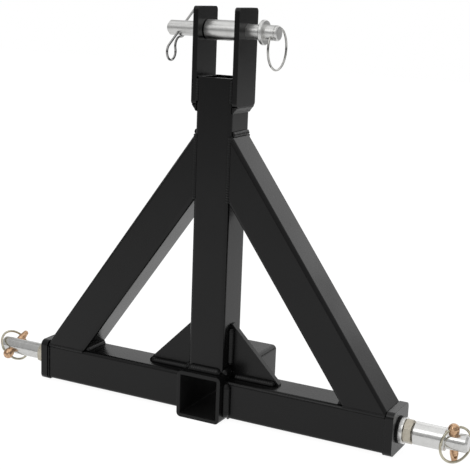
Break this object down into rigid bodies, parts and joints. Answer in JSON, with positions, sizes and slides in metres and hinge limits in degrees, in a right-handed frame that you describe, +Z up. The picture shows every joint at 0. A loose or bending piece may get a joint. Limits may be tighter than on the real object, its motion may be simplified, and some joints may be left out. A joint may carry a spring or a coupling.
{
  "type": "three-point trailer hitch adapter",
  "caption": "A-frame tractor hitch adapter: crossbar studs with linch pins, top draw pin between ears, and a square receiver tube for a ball mount.",
  "frame": {"origin": "underside of the receiver tube, below the middle of the crossbar", "axes": "+X along the crossbar to the sleeved stud, +Y back along the receiver, +Z up the mast"},
  "size_m": [0.7008, 0.169, 0.533],
  "materials": {
    "black_coat": "satin",
    "weld_coat": "satin",
    "zinc": "satin",
    "dark_steel": "satin",
    "bright_steel": "satin",
    "yellow_zinc_nut": "satin",
    "gold_zinc": "satin",
    "ring_wire": "satin",
    "spring_wire": "satin"
  },
  "bodies": {
    "frame": {"crossbar_left": "black_coat", "crossbar_right": "black_coat", "receiver_tube": "black_coat", "mast_tube": "black_coat", "brace_left": "black_coat", "brace_right": "black_coat", "gusset_left": "black_coat", "gusset_right": "black_coat", "end_plate_left": "black_coat", "end_plate_right": "black_coat", "ear_left": "black_coat", "ear_right": "black_coat", "ear_welds": "weld_coat", "brace_top_welds": "weld_coat", "brace_foot_welds": "weld_coat", "gusset_welds": "weld_coat", "mast_foot_welds": "weld_coat", "receiver_welds": "weld_coat", "end_plate_welds": "weld_coat", "lower_stud_left": "zinc", "lower_stud_right": "zinc", "flat_washers": "dark_steel", "lock_washers": "bright_steel", "jam_nuts": "yellow_zinc_nut"},
    "stud_sleeve": {"lower_sleeve": "zinc"},
    "left_linch_pin": {"linch_pin_left": "gold_zinc"},
    "right_linch_pin": {"linch_pin_right": "gold_zinc"},
    "left_linch_ring": {"linch_ring_left": "ring_wire"},
    "right_linch_ring": {"linch_ring_right": "ring_wire"},
    "draw_pin": {"top_pin": "zinc"},
    "pin_sleeve": {"top_sleeve": "zinc"},
    "pin_clip": {"hairpin_clip": "spring_wire"},
    "pin_ring": {"pull_ring": "ring_wire"}
  },
  "joints": [
    {"name": "stud_sleeve_spin", "type": "hinge", "parent": "frame", "child": "stud_sleeve", "pos_m": [0.3027, 0, 0.031], "axis": [1, 0, 0], "continuous": true},
    {"name": "left_linch_draw", "type": "slide", "parent": "frame", "child": "left_linch_pin", "axis": [0, -0.8949, -0.4462], "range_m": [0, 0.046]},
    {"name": "left_ring_swing", "type": "hinge", "parent": "left_linch_pin", "child": "left_linch_ring", "pos_m": [-0.3317, -0.01584, 0.0231], "axis": [-0.6157, -0.3516, 0.7052], "range_deg": [0, 161]},
    {"name": "right_linch_draw", "type": "slide", "parent": "frame", "child": "right_linch_pin", "axis": [0, -0.2756, 0.9613], "range_m": [0, 0.046]},
    {"name": "right_ring_swing", "type": "hinge", "parent": "right_linch_pin", "child": "right_linch_ring", "pos_m": [0.3317, -0.00488, 0.04801], "axis": [-0.6157, -0.7575, -0.2172], "range_deg": [0, 161]},
    {"name": "draw_pin_spin", "type": "hinge", "parent": "frame", "child": "draw_pin", "pos_m": [0, 0, 0.504], "axis": [1, 0, 0], "continuous": true},
    {"name": "pin_sleeve_spin", "type": "hinge", "parent": "draw_pin", "child": "pin_sleeve", "pos_m": [0, 0, 0.504], "axis": [1, 0, 0], "continuous": true},
    {"name": "clip_draw", "type": "slide", "parent": "draw_pin", "child": "pin_clip", "axis": [0, -0.8192, -0.5736], "range_m": [0, 0.052]},
    {"name": "pull_ring_swing", "type": "hinge", "parent": "draw_pin", "child": "pin_ring", "pos_m": [0.066, 0, 0.504], "axis": [0, -0.8192, -0.5736], "range_deg": [-35, 215]}
  ],
  "couplings": [
    {"joint": "left_ring_swing", "follows": "left_linch_draw", "rad_per_m": 60.707},
    {"joint": "right_ring_swing", "follows": "right_linch_draw", "rad_per_m": 60.707}
  ]
}
